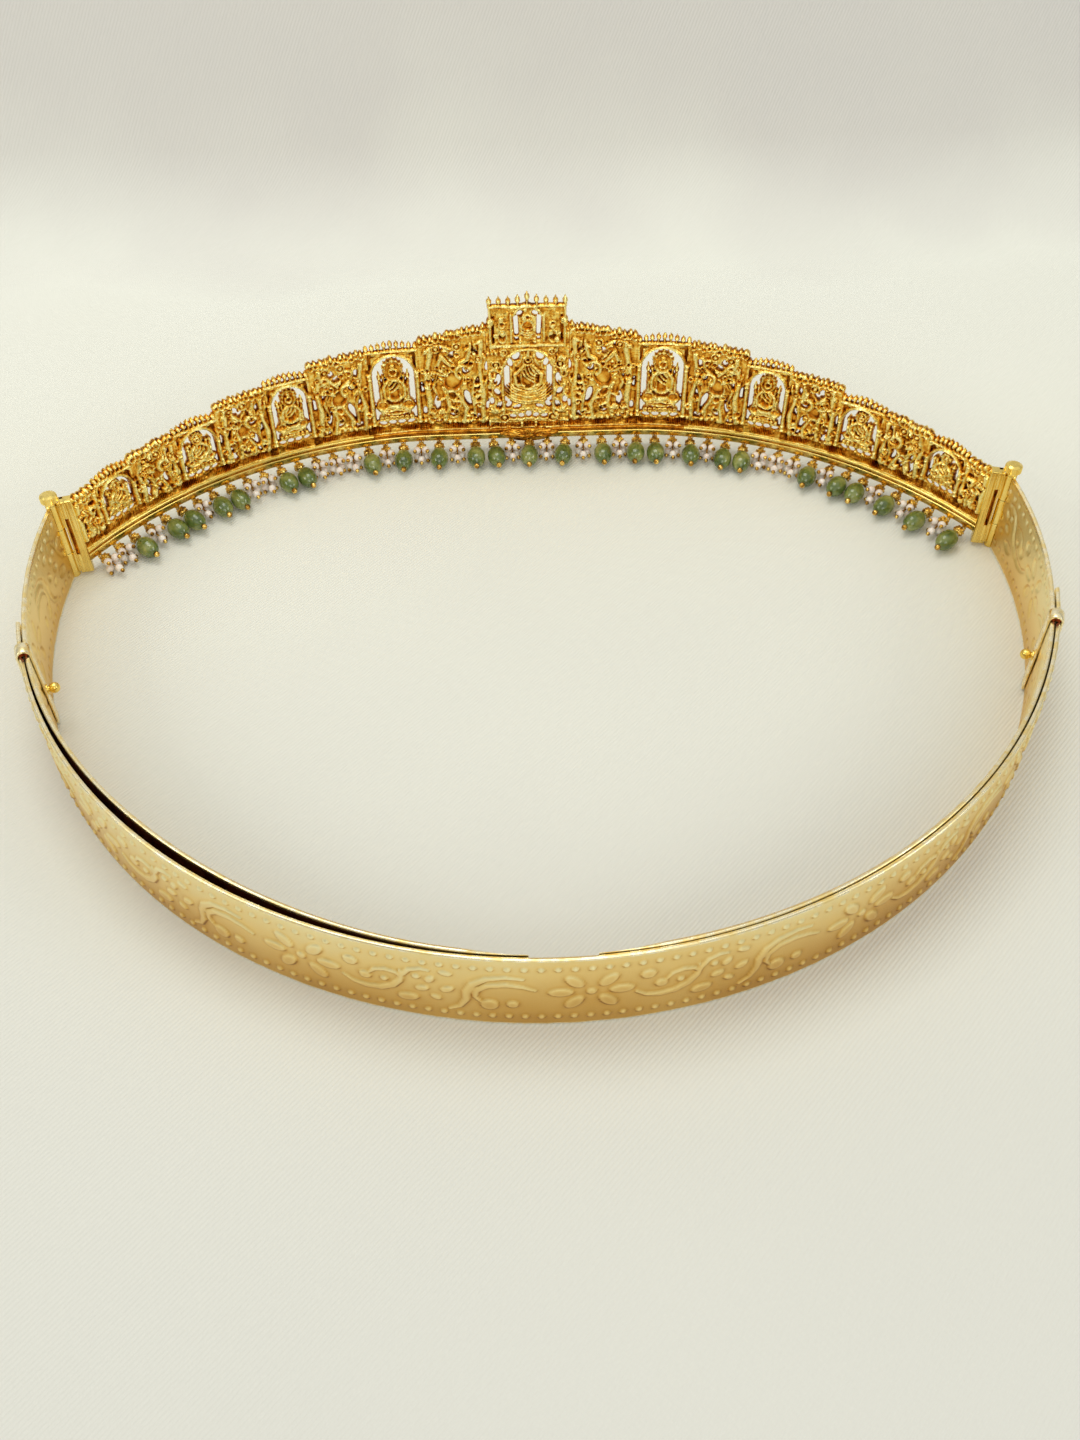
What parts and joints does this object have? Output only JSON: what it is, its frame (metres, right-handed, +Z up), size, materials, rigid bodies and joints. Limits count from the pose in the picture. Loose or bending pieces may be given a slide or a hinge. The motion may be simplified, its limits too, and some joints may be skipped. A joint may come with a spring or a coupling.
{
  "type": "oddiyanam waist belt",
  "caption": "Rigid temple-style waist belt: a pierced gold front panel with figures and a bead fringe, hinged side strips, and an embossed back strip held by two keepers.",
  "frame": {"origin": "on the table, under the middle of the belt's bounding box, with the belt standing on the lower edges of its strips", "axes": "+Z up from the table along the height of the strips; +Y towards the front panel; +X to the right when the inside of the front panel is looked at from the back strip"},
  "size_m": [0.2682, 0.2064, 0.0534],
  "materials": {
    "matte_gold": "matte gold plate over cast relief, with warm darker hollows and worn bright edges",
    "strip_gold": "matte gold plate with a stamped scroll pattern and polished edges",
    "screw_gold": "satin gold, milled",
    "antique_gold": "antique gold, granulated",
    "green_bead": "polished translucent green stone",
    "pearl": "pearl lustre, pinkish white"
  },
  "bodies": {
    "belt": {"centre_piece": "matte_gold", "panel_left": "matte_gold", "panel_right": "matte_gold", "side_strip_left": "strip_gold", "side_strip_right": "strip_gold", "back_strip": "strip_gold", "jade_pins": "antique_gold", "pearl_sprays": "antique_gold", "pearls": "pearl", "jade_bead_01": "green_bead", "jade_bead_02": "green_bead", "jade_bead_03": "green_bead", "jade_bead_04": "green_bead", "jade_bead_05": "green_bead", "jade_bead_06": "green_bead", "jade_bead_07": "green_bead", "jade_bead_08": "green_bead", "jade_bead_09": "green_bead", "jade_bead_10": "green_bead", "jade_bead_11": "green_bead", "jade_bead_12": "green_bead", "jade_bead_13": "green_bead", "jade_bead_14": "green_bead", "jade_bead_15": "green_bead", "jade_bead_16": "green_bead", "jade_bead_17": "green_bead", "jade_bead_18": "green_bead", "jade_bead_19": "green_bead", "jade_bead_20": "green_bead", "jade_bead_21": "green_bead", "jade_bead_22": "green_bead", "jade_bead_23": "green_bead", "jade_bead_24": "green_bead", "jade_bead_25": "green_bead", "jade_bead_26": "green_bead"},
    "left_pin": {"hinge_pin_left": "screw_gold"},
    "right_pin": {"hinge_pin_right": "screw_gold"},
    "left_screw": {"set_screw_left": "screw_gold"},
    "right_screw": {"set_screw_right": "screw_gold"}
  },
  "joints": [
    {"name": "left_pin_lift", "type": "slide", "parent": "belt", "child": "left_pin", "axis": [0, 0, 1], "range_m": [0, 0.03]},
    {"name": "right_pin_lift", "type": "slide", "parent": "belt", "child": "right_pin", "axis": [0, 0, 1], "range_m": [0, 0.03]},
    {"name": "left_screw_back_out", "type": "slide", "parent": "belt", "child": "left_screw", "axis": [0.9483, 0.3173, 0], "range_m": [0, 0.0012]},
    {"name": "right_screw_back_out", "type": "slide", "parent": "belt", "child": "right_screw", "axis": [-0.9483, 0.3173, 0], "range_m": [0, 0.0012]}
  ]
}
